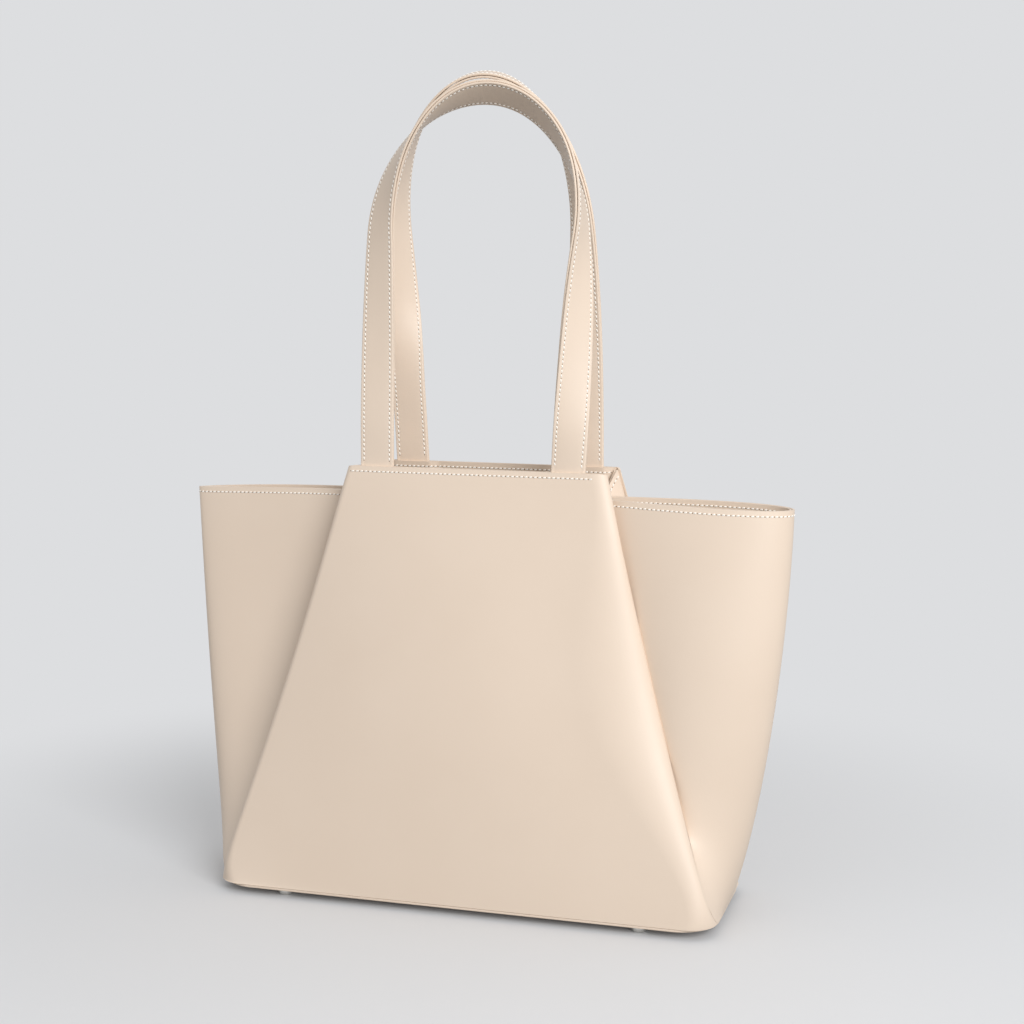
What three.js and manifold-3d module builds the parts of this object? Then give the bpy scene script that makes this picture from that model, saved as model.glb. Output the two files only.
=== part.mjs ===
import * as THREE from "three";
import { mergeVertices } from "three/addons/utils/BufferGeometryUtils.js";
import Module from "manifold-3d";

// Leather tote with a trapezoid front and back, and two side wings tucked behind their slanted folds.
// Millimetres, +Z up, front towards -Y. The origin is on the floor under the middle of the bag.

// Body
const BASE_WIDTH = 336;
const BASE_DEPTH = 110;
const BASE_CORNER_RADIUS = 17.5;
const PANEL_HEIGHT = 285; // floor to the rim of the front and back panels
const PANEL_TOP_WIDTH = 173;
const PANEL_TOP_DEPTH = 42; // across both panels at their rims
const PANEL_BULGE = 2; // how far a panel swells between base and rim
const FOLD_ROLL_WIDTH = 10; // the slanted fold is a quarter ellipse of this width and depth at the rim
const FOLD_ROLL_DEPTH = 4.5;
const FOLD_SAG = 2; // how far a fold bows in half way up
const CORNER_FADE = 27; // how fast the base corner's rounding dies away up the fold

// Side wings
const WING_SPAN = 402; // from one wing's outer end to the other's at their rims
const WING_FLARE = 2.6; // how fast the outer end leaves the base and then steepens
const WING_RIM_INNER = 267.5; // height of a wing's rim behind the panel, and at its outer end
const WING_RIM_OUTER = 264.5;
const WING_NOSE = 12.5; // half width of the turn at the outer end of the rim
const WING_CHEEK = 25.5; // fullest half width that the rim is drawn towards, and its distance from the end
const WING_CHEEK_REACH = 21;
const WING_FULLNESS = 2.5; // how far the wing's walls swell half way up
const PLEAT_APEX = 18; // height where the pleat runs out above the base corner
const PLEAT_OVERLAP = 13; // how far the wing goes in behind the panel at the rim
const PLEAT_DEPTH = 4.5; // step from the panel's fold back to the wing's wall
const PLEAT_FULL_HEIGHT = 80; // height where the step reaches its full depth
const PLEAT_LEAF_FOOT = 34; // height where the pleat's hidden leaf starts, skived to fit the step

// Leather, lining and fits
const LEATHER = 1.4;
const LINING = 0.8;
const FACING = 2.6; // doubled leather band inside the panel's rim
const FACING_HEIGHT = 30;
const WING_FACING = 1;
const WING_FACING_HEIGHT = 22;
const LINING_LIFT = 6; // how far above the base the wings' linings start
const LINING_WRAP = 0.6; // share of the panel's side roll that its lining follows
const FIT = 0.3;
const SEAM_GAP = 0.5; // between a wing's end and the panel's edge where they meet at the base

// Base and feet
const FOOT_HEIGHT = 5;
const FOOT_RADIUS = 5.5;
const FOOT_FLAT_RADIUS = 3.6;
const FOOT_INSET_X = 48; // middle of a foot from the base's end, and from its long edge
const FOOT_INSET_Y = 10;
const FOOT_SHANK_RADIUS = 1.6;
const FOOT_RIVET_RADIUS = 2.6;
const FOOT_RIVET_HEIGHT = 0.6;
const WASHER_RADIUS = 4;
const WASHER = 0.6;
const BASE_LEATHER = 1.6;
const BASE_REVEAL = 0.2; // how far the base's edge stands back under the walls
const BASE_BOARD = 3.2;
const BOARD_CLEARANCE = 1.6; // from the linings, which lean in above the base, to the board
const COUNTERBORE_DEPTH = 1.9;

// Handles
const STRAP_WIDTH = 22;
const STRAP_LAYER = 1.5; // each of the two leathers of a strap
const STRAP_END = 1.2; // strap end, skived thin where it is sewn into the rim
const STRAP_END_LENGTH = 24;
const HANDLE_RISE = 0.8; // rim to the free part of the strap
const HANDLE_LEG_HEIGHT = 149;
const HANDLE_SPREAD = 2.2; // how far a leg leans out from the rim to the start of the arch
const HANDLES_APART = 1.2; // between the two handles where they stand together at the top
// Each handle as it lies: its legs at the rim, its sway to one side at the top, and the degrees that the
// strap has turned from flat at every tenth of its length from the left end.
const HANDLES = {
  front: {
    legSpacing: 128,
    shift: -2.7,
    sway: 7.7,
    drop: 236,
    turns: [0, 0, 12, 31, 73, 123, 123, 90, 53, 28, 0],
  },
  back: {
    legSpacing: 119,
    shift: 4.8,
    sway: -8,
    drop: 250.5,
    turns: [0, 3, 48, 79, 103, 99, 70, 44, 18, 0, 0],
  },
};

// Fineness of the sheets
const PANEL_FLAT_COLUMNS = 2;
const PANEL_ROLL_COLUMNS = 5;
const PANEL_ROWS = 16;
const WING_COLUMNS = 20;
const WING_ROWS = 15;
const LINING_ROWS = 13;
const BAND_ROWS = 2;
const PLEAT_ROWS = 8;
const ROW_GRADING = 1.9; // rows are closer near the base, where the form changes fastest
const STRAP_STEPS = 64;
const ROUND_SEGMENTS = 20;
const CORNER_SEGMENTS = 6;

const mix = THREE.MathUtils.lerp;
const ease = THREE.MathUtils.smoothstep;
const baseTop = FOOT_HEIGHT + BASE_LEATHER;
const wallFoot = baseTop + FIT;
const boardTop = wallFoot + BASE_BOARD;
const liningNear = LEATHER + FIT;
const liningFar = liningNear + LINING;
const facingFoot = PANEL_HEIGHT - FACING_HEIGHT;

const wasm = await Module();
wasm.setup();

const colours = {
  leather: { color: 0xd9cdb8, roughness: 0.5, metalness: 0 },
  lining: { color: 0xc9bda6, roughness: 0.8, metalness: 0 },
  board: { color: 0xa89478, roughness: 0.9, metalness: 0 },
  metal: { color: 0xd8d8d6, roughness: 0.25, metalness: 1 },
};

function named(name, geometry, finish) {
  const mesh = new THREE.Mesh(geometry, new THREE.MeshStandardMaterial(colours[finish]));
  mesh.name = name;
  return mesh;
}

function toSolid(geometry) {
  const bare = geometry.clone();
  bare.deleteAttribute("normal");
  bare.deleteAttribute("uv");
  const merged = mergeVertices(bare);
  const vertProperties = new Float32Array(merged.attributes.position.array);
  const triVerts = new Uint32Array(merged.index.array);
  return new wasm.Manifold(new wasm.Mesh({ numProp: 3, vertProperties, triVerts }));
}

function toGeometry(solid) {
  const { vertProperties, triVerts } = solid.getMesh();
  const geometry = new THREE.BufferGeometry();
  geometry.setAttribute("position", new THREE.BufferAttribute(vertProperties, 3));
  geometry.setIndex(new THREE.BufferAttribute(triVerts, 1));
  return geometry;
}

function cut(geometry, tools) {
  return toGeometry(tools.reduce((solid, tool) => solid.subtract(toSolid(tool)), toSolid(geometry)));
}

// Closed solid between two faces, each a function of u across and v up, both from 0 to 1.
// Seen from the outside of the first face, u runs to the right and v upwards.
function slab(outer, inner, columns, rows) {
  const points = [];
  const corners = [];
  for (const face of [outer, inner]) {
    for (let row = 0; row <= rows; row++) {
      for (let column = 0; column <= columns; column++) {
        points.push(face(column / columns, row / rows));
      }
    }
  }
  const side = (columns + 1) * (rows + 1);
  const at = (column, row) => row * (columns + 1) + column;
  const quad = (a, b, c, d) => corners.push(a, b, c, a, c, d);
  for (let row = 0; row < rows; row++) {
    for (let column = 0; column < columns; column++) {
      const [a, b] = [at(column, row), at(column + 1, row)];
      const [c, d] = [at(column + 1, row + 1), at(column, row + 1)];
      quad(a, b, c, d);
      quad(side + a, side + d, side + c, side + b);
    }
  }
  const rim = [];
  for (let column = 0; column < columns; column++) rim.push(at(column, 0));
  for (let row = 0; row < rows; row++) rim.push(at(columns, row));
  for (let column = columns; column > 0; column--) rim.push(at(column, rows));
  for (let row = rows; row > 0; row--) rim.push(at(0, row));
  rim.forEach((point, index) => {
    const next = rim[(index + 1) % rim.length];
    quad(point, point + side, next + side, next);
  });
  const geometry = new THREE.BufferGeometry().setFromPoints(points);
  geometry.setIndex(corners);
  return geometry;
}

// A face that lies the given depth inside a surface, measured level along the surface's normal.
function inset(surface, depth) {
  const step = 1e-4;
  return (u, v) => {
    const across = surface(u + step, v).sub(surface(u - step, v));
    const up = surface(u, v + step).sub(surface(u, v - step));
    const normal = across.cross(up).setZ(0).normalize();
    return surface(u, v).addScaledVector(normal, -depth);
  };
}

// Front panel. A share of 0 is its foot and 1 its rim.
const panelShare = (z) => (z - wallFoot) / (PANEL_HEIGHT - wallFoot);
const cornerShare = (z) => Math.max(1 - panelShare(z), 0) ** CORNER_FADE;
const rollWidth = (z) => mix(FOLD_ROLL_WIDTH, BASE_CORNER_RADIUS, cornerShare(z));
const rollDepth = (z) => mix(FOLD_ROLL_DEPTH, BASE_CORNER_RADIUS, cornerShare(z));
const edgeDepth = (z) => panelHalfDepth(z) - rollDepth(z);

function panelHalfWidth(z) {
  const share = panelShare(z);
  return mix(BASE_WIDTH, PANEL_TOP_WIDTH, share) / 2 - FOLD_SAG * Math.sin(Math.PI * share);
}

function panelHalfDepth(z) {
  const share = panelShare(z);
  return mix(BASE_DEPTH, PANEL_TOP_DEPTH, share) / 2 + PANEL_BULGE * Math.sin(Math.PI * share);
}

// Point of the front panel's outer face: across from -1 to 1 is its flat part, and beyond that, up to
// -2 or 2, the quarter ellipse of the slanted fold that rolls the panel back.
function panelPoint(across, z) {
  const flat = panelHalfWidth(z) - rollWidth(z);
  const angle = (Math.max(Math.abs(across) - 1, 0) * Math.PI) / 2;
  const x = flat * Math.min(Math.abs(across), 1) + rollWidth(z) * Math.sin(angle);
  const y = rollDepth(z) * (1 - Math.cos(angle)) - panelHalfDepth(z);
  return new THREE.Vector3(Math.sign(across) * x, y, z);
}

const panelColumns = PANEL_FLAT_COLUMNS + 2 * PANEL_ROLL_COLUMNS;

// Surface of the panel between two heights. A wrap of 0 is its flat part, and 1 takes in both side rolls.
function panelSurface(wrap, low, high) {
  const flatShare = wrap > 0 ? PANEL_FLAT_COLUMNS / panelColumns : 1;
  return (u, v) => {
    const side = 2 * u - 1;
    const beyond = wrap > 0 ? Math.max(Math.abs(side) - flatShare, 0) / (1 - flatShare) : 0;
    const across = Math.min(Math.abs(side) / flatShare, 1) + wrap * beyond;
    return panelPoint(Math.sign(side) * across, mix(low, high, Math.max(v, 0) ** ROW_GRADING));
  };
}

function panelLeather() {
  const surface = panelSurface(1, wallFoot, PANEL_HEIGHT);
  return slab(surface, inset(surface, LEATHER), panelColumns, PANEL_ROWS);
}

function panelLining() {
  const surface = panelSurface(LINING_WRAP, wallFoot, facingFoot - FIT);
  return slab(inset(surface, liningNear), inset(surface, liningFar), panelColumns, LINING_ROWS);
}

// Strap ends lie between the panel's leather and its facing, which is hollowed out for them.
function strapEnd({ x, clearance, top }) {
  const half = STRAP_WIDTH / 2 + clearance;
  const foot = PANEL_HEIGHT - STRAP_END_LENGTH - clearance;
  const surface = (u, v) => {
    const z = mix(foot, top, v);
    return new THREE.Vector3(x + mix(-half, half, u), -panelHalfDepth(z), z);
  };
  const near = liningNear - clearance;
  const far = liningNear + STRAP_END + clearance;
  return slab(inset(surface, near), inset(surface, far), 1, BAND_ROWS);
}

function panelFacing(legs) {
  const surface = panelSurface(0, facingFoot, PANEL_HEIGHT);
  const [near, far] = [liningNear, liningNear + FACING];
  const band = slab(inset(surface, near), inset(surface, far), PANEL_FLAT_COLUMNS, BAND_ROWS);
  const hollows = legs.map((x) => strapEnd({ x, clearance: FIT, top: PANEL_HEIGHT + FIT }));
  return cut(band, hollows);
}

// Right wing. Its level section is a curve from the outer end to the inner end behind the panel's fold.
const wingEnd = (v) => mix(BASE_WIDTH, WING_SPAN, 1 - (1 - v) ** WING_FLARE) / 2;
const wingInnerHeight = (v) => mix(wallFoot, WING_RIM_INNER, v);
const pleatOverlap = (z) => PLEAT_OVERLAP * Math.max((z - PLEAT_APEX) / (PANEL_HEIGHT - PLEAT_APEX), 0);
const wingInnerX = (z) => panelHalfWidth(z) - pleatOverlap(z);

const pleatStep = (z) => mix(SEAM_GAP, PLEAT_DEPTH, ease(z, PLEAT_APEX, PLEAT_FULL_HEIGHT));
const wingInnerDepth = (z) => edgeDepth(z) - pleatStep(z);

function wingSection(v) {
  const end = wingEnd(v);
  const z = wingInnerHeight(v);
  const foot = wingInnerDepth(wallFoot);
  const swell = WING_FULLNESS * Math.sin(Math.PI * v);
  return new THREE.CubicBezierCurve(
    new THREE.Vector2(end, 0),
    new THREE.Vector2(end, mix(foot / 3, WING_NOSE, v) + swell / 2),
    new THREE.Vector2(end - WING_CHEEK_REACH * v, mix((2 * foot) / 3, WING_CHEEK, v) + swell),
    new THREE.Vector2(wingInnerX(z), wingInnerDepth(z)),
  );
}

// Surface of the right wing's outer face, from the front inner end round the outer end to the back one.
// The low and high are shares of the wall from its foot to the rim.
function wingSurface(low, high) {
  const rim = wingSection(1);
  const span = wingEnd(1) - wingInnerX(WING_RIM_INNER);
  return (u, v) => {
    const along = Math.abs(2 * u - 1);
    const share = mix(low, high, Math.max(v, 0) ** ROW_GRADING);
    const { x, y } = wingSection(Math.min(share, 1)).getPoint(along);
    const outward = 1 - (wingEnd(1) - rim.getPoint(along).x) / span;
    const rimHeight = mix(WING_RIM_INNER, WING_RIM_OUTER, outward);
    return new THREE.Vector3(x, Math.sign(2 * u - 1) * y, mix(wallFoot, rimHeight, share));
  };
}

const wingWallHeight = WING_RIM_INNER - wallFoot;
const wingFacingFoot = 1 - WING_FACING_HEIGHT / wingWallHeight;

function wingLeather() {
  const surface = wingSurface(0, 1);
  return slab(surface, inset(surface, LEATHER), WING_COLUMNS, WING_ROWS);
}

function wingLining() {
  const surface = wingSurface(LINING_LIFT / wingWallHeight, wingFacingFoot - FIT / wingWallHeight);
  return slab(inset(surface, liningNear), inset(surface, liningFar), WING_COLUMNS, LINING_ROWS);
}

function wingFacing() {
  const surface = wingSurface(wingFacingFoot, 1);
  return slab(inset(surface, liningNear), inset(surface, liningNear + WING_FACING), WING_COLUMNS, BAND_ROWS);
}

// Hidden leaf of the right wing's pleat, from the panel's edge in to the wing's inner end, with a slanting
// top between their rims. The side is -1 at the front and 1 at the back.
function pleatLeaf(side) {
  const leaf = (share) => (u, v) => {
    const inward = side < 0 ? 1 - u : u;
    const top = mix(PANEL_HEIGHT, WING_RIM_INNER, inward ** 2);
    const z = mix(PLEAT_LEAF_FOOT, top, v ** ROW_GRADING);
    const thickness = Math.min(LEATHER, pleatStep(z) - 2 * FIT);
    const x = mix(panelHalfWidth(z) - FIT, wingInnerX(z), inward);
    const depth = mix(edgeDepth(z) - FIT, wingInnerDepth(z) + FIT + thickness, inward);
    return new THREE.Vector3(x, side * (depth - share * thickness), z);
  };
  return slab(leaf(0), leaf(1), BAND_ROWS, PLEAT_ROWS);
}

// Base
function baseOutline(margin) {
  const halfX = BASE_WIDTH / 2 - margin;
  const halfY = BASE_DEPTH / 2 - margin;
  const radius = BASE_CORNER_RADIUS - margin;
  const shape = new THREE.Shape();
  shape.absarc(halfX - radius, halfY - radius, radius, 0, Math.PI / 2);
  shape.absarc(radius - halfX, halfY - radius, radius, Math.PI / 2, Math.PI);
  shape.absarc(radius - halfX, radius - halfY, radius, Math.PI, 1.5 * Math.PI);
  shape.absarc(halfX - radius, radius - halfY, radius, 1.5 * Math.PI, 2 * Math.PI);
  return shape;
}

const footPlaces = [-1, 1].flatMap((sideY) =>
  [-1, 1].map((sideX) => ({
    name: `${sideY < 0 ? "front" : "back"}_${sideX < 0 ? "left" : "right"}`,
    x: sideX * (BASE_WIDTH / 2 - FOOT_INSET_X),
    y: sideY * (BASE_DEPTH / 2 - FOOT_INSET_Y),
  })),
);

function baseSheet(margin, thickness, low, holeRadius) {
  const shape = baseOutline(margin);
  if (holeRadius) {
    for (const { x, y } of footPlaces) {
      shape.holes.push(new THREE.Path().absarc(x, y, holeRadius, 0, 2 * Math.PI, true));
    }
  }
  const options = { depth: thickness, bevelEnabled: false, curveSegments: CORNER_SEGMENTS };
  return new THREE.ExtrudeGeometry(shape, options).translate(0, 0, low);
}

const boardMargin = liningFar + BOARD_CLEARANCE;
const counterboreFloor = boardTop - COUNTERBORE_DEPTH;

function baseBoard() {
  const board = baseSheet(boardMargin, BASE_BOARD, wallFoot, FOOT_SHANK_RADIUS + FIT);
  const radius = WASHER_RADIUS + FIT;
  const depth = COUNTERBORE_DEPTH + FIT;
  const bores = footPlaces.map(({ x, y }) =>
    new THREE.CylinderGeometry(radius, radius, depth, ROUND_SEGMENTS)
      .rotateX(Math.PI / 2)
      .translate(x, y, counterboreFloor + depth / 2),
  );
  return cut(board, bores);
}

function turned(profile) {
  const points = profile.map(([radius, height]) => new THREE.Vector2(radius, height));
  return new THREE.LatheGeometry(points, ROUND_SEGMENTS).rotateX(Math.PI / 2);
}

// Domed foot with its shank up through the base, riveted over the washer in the board's counterbore.
function footStud() {
  const cap = FOOT_HEIGHT - FIT;
  const rivet = counterboreFloor + WASHER + 2 * FIT;
  const dome = new THREE.QuadraticBezierCurve(
    new THREE.Vector2(FOOT_FLAT_RADIUS, 0),
    new THREE.Vector2(FOOT_RADIUS, 0),
    new THREE.Vector2(FOOT_RADIUS, cap / 2),
  );
  return turned([
    [0, 0],
    ...dome.getPoints(3).map((point) => point.toArray()),
    [FOOT_RADIUS, cap],
    [FOOT_SHANK_RADIUS, cap],
    [FOOT_SHANK_RADIUS, rivet],
    [FOOT_RIVET_RADIUS, rivet],
    [FOOT_RIVET_RADIUS, rivet + FOOT_RIVET_HEIGHT],
    [0, rivet + FOOT_RIVET_HEIGHT],
  ]);
}

function footWasher() {
  const low = counterboreFloor + FIT;
  const bore = FOOT_SHANK_RADIUS + FIT;
  return turned([
    [bore, low],
    [WASHER_RADIUS, low],
    [WASHER_RADIUS, low + WASHER],
    [bore, low + WASHER],
    [bore, low],
  ]);
}

// Handles. A side of -1 is the front handle and 1 the back one.
const strapDepth = liningNear + STRAP_END / 2;
const strapHalf = STRAP_LAYER + FIT / 2;
const legPlaces = ({ legSpacing, shift }) => [shift - legSpacing / 2, shift + legSpacing / 2];

// Middle line of a strap: two legs that spread a little, a half ellipse over them, and a sway that
// grows with the height.
function handleCurve(handle, side) {
  const { legSpacing, shift, sway, drop } = handle;
  const crownDepth = (STRAP_WIDTH + HANDLES_APART) / 2;
  const rimDepth = PANEL_TOP_DEPTH / 2 - strapDepth;
  const archWidth = legSpacing / 2 + HANDLE_SPREAD;
  const archHeight = drop - HANDLE_LEG_HEIGHT;
  const place = (half, height) => {
    const share = height / drop;
    const x = shift + half + sway * share;
    return new THREE.Vector3(x, side * mix(rimDepth, crownDepth, share), PANEL_HEIGHT + height);
  };
  const legSteps = 8;
  const archSteps = 24;
  const points = [];
  for (let step = 0; step < legSteps; step++) {
    const height = mix(HANDLE_RISE, HANDLE_LEG_HEIGHT, step / legSteps);
    const spread = HANDLE_SPREAD * Math.sin((Math.PI / 2) * (height / HANDLE_LEG_HEIGHT));
    points.push([legSpacing / 2 + spread, height]);
  }
  const arch = Array.from({ length: archSteps + 1 }, (_, step) => {
    const angle = (Math.PI * step) / archSteps;
    return [-archWidth * Math.cos(angle), HANDLE_LEG_HEIGHT + archHeight * Math.sin(angle)];
  });
  const outline = [
    ...points.map(([half, height]) => [-half, height]),
    ...arch,
    ...points.reverse(),
  ];
  return new THREE.CatmullRomCurve3(outline.map(([half, height]) => place(half, height)));
}

// One leather of a strap, from low to high along the strap's outer face direction. The strap lies flat to
// the panel at its ends and turns edge on, or beyond, towards the top of the arch.
function strapLayer(handle, side, low, high) {
  const curve = handleCurve(handle, side);
  const turns = new THREE.SplineCurve(handle.turns.map((turn) => new THREE.Vector2(turn, 0)));
  const outward = new THREE.Vector3(0, side, 0);
  const frame = (share) => {
    const angle = THREE.MathUtils.degToRad(turns.getPoint(share).x);
    const tangent = curve.getTangentAt(share);
    const over = new THREE.Vector3().crossVectors(outward, tangent).multiplyScalar(-side).normalize();
    const away = new THREE.Vector3().crossVectors(tangent, over).multiplyScalar(-side).normalize();
    const normal = away.multiplyScalar(Math.cos(angle)).addScaledVector(over, Math.sin(angle));
    const width = new THREE.Vector3().crossVectors(tangent, normal);
    return { centre: curve.getPointAt(share), normal, width };
  };
  const face = (depth) => (u, v) => {
    const { centre, normal, width } = frame(v);
    return centre.addScaledVector(normal, depth).addScaledVector(width, (u - 0.5) * STRAP_WIDTH);
  };
  return slab(face(high), face(low), 1, STRAP_STEPS);
}

// Assembly
const bag = new THREE.Group();

for (const [name, side, turn] of [["front", -1, 0], ["back", 1, Math.PI]]) {
  const handle = HANDLES[name];
  const half = new THREE.Group();
  half.rotation.z = turn;
  const legs = legPlaces(handle).map((x) => -side * x);
  half.add(named(`${name}_panel`, panelLeather(), "leather"));
  half.add(named(`${name}_lining`, panelLining(), "lining"));
  half.add(named(`${name}_facing`, panelFacing(legs), "leather"));
  legPlaces(handle).forEach((place, index) => {
    const end = strapEnd({ x: -side * place, clearance: 0, top: PANEL_HEIGHT });
    half.add(named(`${name}_${index ? "right" : "left"}_strap_end`, end, "leather"));
  });
  bag.add(half);
  bag.add(named(`${name}_handle_strap`, strapLayer(handle, side, FIT / 2, strapHalf), "leather"));
  bag.add(named(`${name}_handle_backing`, strapLayer(handle, side, -strapHalf, -FIT / 2), "leather"));
}

for (const [name, turn, near, far] of [["right", 0, "front", "back"], ["left", Math.PI, "back", "front"]]) {
  const wing = new THREE.Group();
  wing.rotation.z = turn;
  wing.add(named(`${name}_wing`, wingLeather(), "leather"));
  wing.add(named(`${name}_wing_lining`, wingLining(), "lining"));
  wing.add(named(`${name}_wing_facing`, wingFacing(), "leather"));
  wing.add(named(`${name}_wing_${near}_pleat`, pleatLeaf(-1), "leather"));
  wing.add(named(`${name}_wing_${far}_pleat`, pleatLeaf(1), "leather"));
  bag.add(wing);
}

const basePanel = baseSheet(BASE_REVEAL, BASE_LEATHER, FOOT_HEIGHT, FOOT_SHANK_RADIUS + FIT);
bag.add(named("base_panel", basePanel, "leather"));
bag.add(named("base_board", baseBoard(), "board"));
bag.add(named("base_lining", baseSheet(boardMargin, LINING, boardTop + FIT), "lining"));
for (const { name, x, y } of footPlaces) {
  const stud = named(`${name}_foot`, footStud(), "metal");
  const washer = named(`${name}_foot_washer`, footWasher(), "metal");
  stud.position.set(x, y, 0);
  washer.position.set(x, y, 0);
  bag.add(stud, washer);
}

export default bag;
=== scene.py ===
import math

import bmesh
import bpy
import numpy as np
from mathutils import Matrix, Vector


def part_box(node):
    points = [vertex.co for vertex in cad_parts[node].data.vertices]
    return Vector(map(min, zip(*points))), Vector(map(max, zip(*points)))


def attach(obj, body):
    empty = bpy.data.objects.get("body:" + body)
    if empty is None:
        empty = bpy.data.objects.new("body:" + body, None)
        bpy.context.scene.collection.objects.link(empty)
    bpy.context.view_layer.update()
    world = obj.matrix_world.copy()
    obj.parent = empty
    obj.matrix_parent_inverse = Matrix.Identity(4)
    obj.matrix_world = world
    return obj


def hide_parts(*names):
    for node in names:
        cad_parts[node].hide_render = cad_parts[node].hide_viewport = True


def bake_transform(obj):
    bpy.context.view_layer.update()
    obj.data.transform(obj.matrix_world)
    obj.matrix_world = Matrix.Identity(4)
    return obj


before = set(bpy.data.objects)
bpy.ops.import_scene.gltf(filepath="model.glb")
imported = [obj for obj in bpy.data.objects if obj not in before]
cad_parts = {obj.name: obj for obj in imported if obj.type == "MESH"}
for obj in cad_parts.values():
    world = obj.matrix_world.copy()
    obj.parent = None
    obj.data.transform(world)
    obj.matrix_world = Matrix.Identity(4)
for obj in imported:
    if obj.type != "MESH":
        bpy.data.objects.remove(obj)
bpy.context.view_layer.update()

# Sizes in millimetres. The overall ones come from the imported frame.
MM = 0.001


def corners(node):
    """Lowest and highest corner of a CAD node in millimetres."""
    return [np.array(corner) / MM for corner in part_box(node)]


panel_low, panel_high = corners("front_panel")
wing_high = corners("right_wing")[1]
facing_low = corners("front_facing")[0]
base_low, base_high = corners("base_panel")

FOOT = panel_low[2]
RIM = panel_high[2]
BASE_HALF_WIDTH = panel_high[0]
BASE_HALF_DEPTH = -panel_low[1]
RIM_HALF_WIDTH = 86.5
RIM_HALF_DEPTH = 21
PANEL_BULGE = 2
PANEL_DOME = 3
PANEL_SLOPE = 8
BASE_CORNER = 17.5
BASE_EDGE_CORNER = 26
# The pressed fold at a panel's left, and the soft one at its right with its sizes at the rim and half way up.
PRESSED_FOLD_WIDTH, PRESSED_FOLD_DEPTH, PRESSED_SAG = 4, 3.5, 2
RIM_FOLD_WIDTH, RIM_FOLD_DEPTH = 10, 4.5
SOFT_FOLD_WIDTH, SOFT_FOLD_DEPTH, SOFT_SAG = 45, 14, 4.7
CORNER_FADE = 27
RIM_DROP, RIM_DROP_HEIGHT = 1.5, 30

WING_RIM_INNER = wing_high[2]
WING_RIM_OUTER = 264.5
# Each wing as it lies: its outer end at the rim and the two powers by which that end grows out from the
# base, the shares of the base's depth where its section starts, the nose its rim is drawn to and how much
# fuller that is half way up, and the step of its pleat behind the pressed fold at the rim. The pairs are for
# the wall on the soft fold's side and the wall on the pressed fold's side: the cheek and its distance from
# the end at the rim, and how much further in and out it lies half way up.
WINGS = {
    "left": dict(end=202.5, lift=0.3, flare=1, foot_nose=0.8, foot_cheek=1, nose=6, nose_fullness=0,
                 cheek=(28, -4), reach=(50, 100), roll=(0, 0), fullness=(4, -16), step=4.5),
    "right": dict(end=201.8, lift=0.775, flare=1.64, foot_nose=0.33, foot_cheek=0.67, nose=12,
                  nose_fullness=13, cheek=(30, 34), reach=(21, 21), roll=(45, 45),
                  fullness=(13, 13), step=10.5),
}
FOOT_TURN = 0.004
# The pleats: the heights where they begin and where the soft ones are fully recessed, those recesses half way
# up and at the rim, and how far the panel's roll goes on round above the apex to cover the leaf's start.
PLEAT_APEX = 18
PLEAT_OPEN = 68
SOFT_RECESS = 18
RIM_RECESS = 14
FOLD_TURN = math.radians(100)
PLEAT_OVERLAP = 13
PLEAT_LEAF_FOOT = 22
PLEAT_RIM_POWER = 1.9
SEAM_GAP = 0.5
# A leaf's seam to its wing, how it is thinner than its pleat, and the shares of its way where it turns in,
# where its slack lies and where its first stitch is.
LEAF_SEAM = 0.4
LEAF_CLEARANCE = 0.2
LEAF_TURN, LEAF_SLACK, LEAF_FIRST_STITCH = 0.3, 0.45, 0.12

LEATHER = 1.4
LINING = 0.8
FIT = 0.3
LAYER_GAP = 0.45
FACING = 1.2
# The shares of a fold that facing, lining and the rim's stitches go round.
FACING_WRAP, LINING_WRAP, PRESSED_WRAP, STITCH_WRAP = 0.75, 0.6, 0.1, 0.06
FACING_FOOT = facing_low[2]
FACING_BULGE, FACING_BULGE_FADE, FACING_BULGE_TOP = 3.1, 7, 14
WING_FACING_HEIGHT = 22
LINING_LIFT = 6
EDGE_ROUND = 0.5
BASE_EDGE_ROUND = 0.35
BASE_RING = 192
# A foot's flat as a share of its radius, and its dome's height as a share of the whole foot's.
FOOT_FLAT, FOOT_DOME = 0.62, 0.62
LEAN_FOOT = 1.2
LEAN_RIM = 5

STRAP_WIDTH = 22
STRAP_LAYER = 1.5
STRAP_GAP = 0.15
STRAP_SINK = 10
STRAP_DEPTH = 2.3
STRAP_TUCK, STRAP_TUCK_HEIGHT = 0.9, 30
STRAP_EDGE_ROUND = 0.6
STRAP_CROWN = 0.12
# Height above the rim where a strap's legs go over into its arch, the legs' spread, and the gap between the
# handles at the top.
LEG_HEIGHT = 149
LEG_SPREAD = 2.2
HANDLES_APART = 1.2
# Each handle as it lies: its legs at the rim, its sway to one side at the top, its height, and the degrees
# that the strap has turned at every tenth of its length from the left end.
HANDLES = {
    "front": dict(spacing=128, shift=-2.7, sway=7.7, drop=236,
                  turns=(0, 0, 12, 31, 73, 123, 123, 90, 53, 28, 0)),
    "back": dict(spacing=119, shift=4.8, sway=-8, drop=249,
                 turns=(0, 3, 48, 79, 103, 99, 70, 44, 18, 0, 0)),
}

STITCH_PITCH = 2.95
STITCH_LENGTH = 2.1
STITCH_WIDTH = 0.95
STITCH_SLANT = math.radians(16)
HOLE_WIDTH = 0.85
RIM_STITCH = 3.4
STRAP_STITCH = 2.3
# The groove that the stitches press into a strap, and how far the thread lies in it.
STRAP_GROOVE, STRAP_GROOVE_WIDTH, STRAP_THREAD_SINK = 0.16, 0.7, 0.14


def mix(low, high, share):
    return low + (high - low) * share


def ease(value, low, high):
    """0 below low, 1 above high, and a smooth step between them."""
    share = np.clip((value - low) / (high - low), 0, 1)
    return share * share * (3 - 2 * share)


def unit(vectors):
    return vectors / np.linalg.norm(vectors, axis=-1, keepdims=True)


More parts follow.
